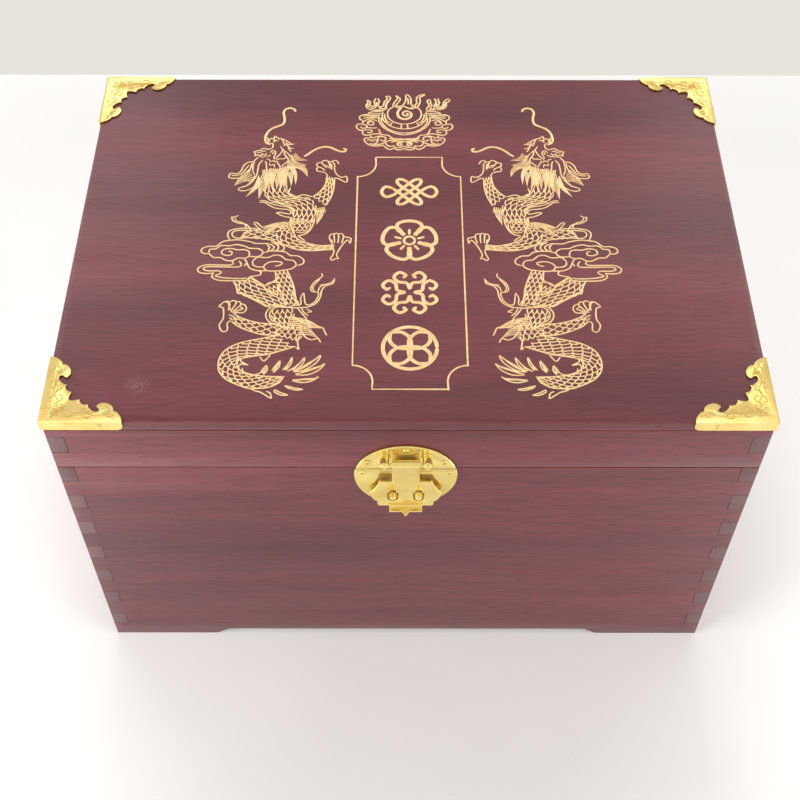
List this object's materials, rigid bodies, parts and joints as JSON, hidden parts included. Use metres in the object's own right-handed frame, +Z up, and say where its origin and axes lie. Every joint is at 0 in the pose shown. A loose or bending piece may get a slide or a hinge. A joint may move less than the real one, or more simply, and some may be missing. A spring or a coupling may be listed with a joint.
{
  "type": "wooden document chest",
  "caption": "Finger-jointed wooden chest with a stop-hinged lid, cut brass corner caps and a round hasp latch with bored studs, for keeping books and papers.",
  "frame": {"origin": "on the ground, under the middle of the whole object's footprint, latch and hinges included", "axes": "+X to the chest's right seen from the front, +Y from the latch to the hinges, +Z up"},
  "size_m": [0.4542, 0.3416, 0.2821],
  "materials": {
    "stained_wood": "dark red-brown stain under satin lacquer",
    "bare_wood": "bare camphor wood, fine sanded",
    "brass_caps": "stamped and stippled, lightly lacquered",
    "polished_brass": "polished",
    "hinge_brass": "brushed"
  },
  "bodies": {
    "chest": {"front_board": "stained_wood", "back_board": "stained_wood", "left_board": "stained_wood", "right_board": "stained_wood", "bottom_panel": "bare_wood", "latch_lower_plate": "polished_brass", "latch_lower_screw_1": "polished_brass", "latch_lower_screw_2": "polished_brass", "latch_stud_left": "polished_brass", "latch_stud_right": "polished_brass", "hinge_lower_leaf_left": "hinge_brass", "hinge_pin_left": "hinge_brass", "hinge_lower_screw_left_1": "hinge_brass", "hinge_lower_screw_left_2": "hinge_brass", "hinge_lower_screw_left_3": "hinge_brass", "hinge_lower_leaf_right": "hinge_brass", "hinge_pin_right": "hinge_brass", "hinge_lower_screw_right_1": "hinge_brass", "hinge_lower_screw_right_2": "hinge_brass", "hinge_lower_screw_right_3": "hinge_brass"},
    "lid": {"lid_front_rail": "stained_wood", "lid_back_rail": "stained_wood", "lid_left_rail": "stained_wood", "lid_right_rail": "stained_wood", "lid_top_board": "stained_wood", "corner_cap_front_left": "brass_caps", "corner_cap_front_right": "brass_caps", "corner_cap_back_right": "brass_caps", "corner_cap_back_left": "brass_caps", "latch_upper_plate": "polished_brass", "latch_upper_screw_1": "polished_brass", "latch_upper_screw_2": "polished_brass", "latch_upper_screw_3": "polished_brass", "latch_post_left": "polished_brass", "latch_post_right": "polished_brass", "latch_pin": "polished_brass", "hinge_upper_leaf_left": "hinge_brass", "hinge_upper_screw_left_1": "hinge_brass", "hinge_upper_screw_left_2": "hinge_brass", "hinge_upper_screw_left_3": "hinge_brass", "hinge_upper_leaf_right": "hinge_brass", "hinge_upper_screw_right_1": "hinge_brass", "hinge_upper_screw_right_2": "hinge_brass", "hinge_upper_screw_right_3": "hinge_brass"},
    "hasp": {"hasp": "polished_brass"}
  },
  "joints": [
    {"name": "lid_hinge", "type": "hinge", "parent": "chest", "child": "lid", "pos_m": [0, 0.16508, 0.23059], "axis": [-1, 0, 0], "range_deg": [0, 95]},
    {"name": "hasp_swing", "type": "hinge", "parent": "lid", "child": "hasp", "pos_m": [-0.0015, -0.16522, 0.24459], "axis": [-1, 0, 0], "range_deg": [0, 180]}
  ]
}
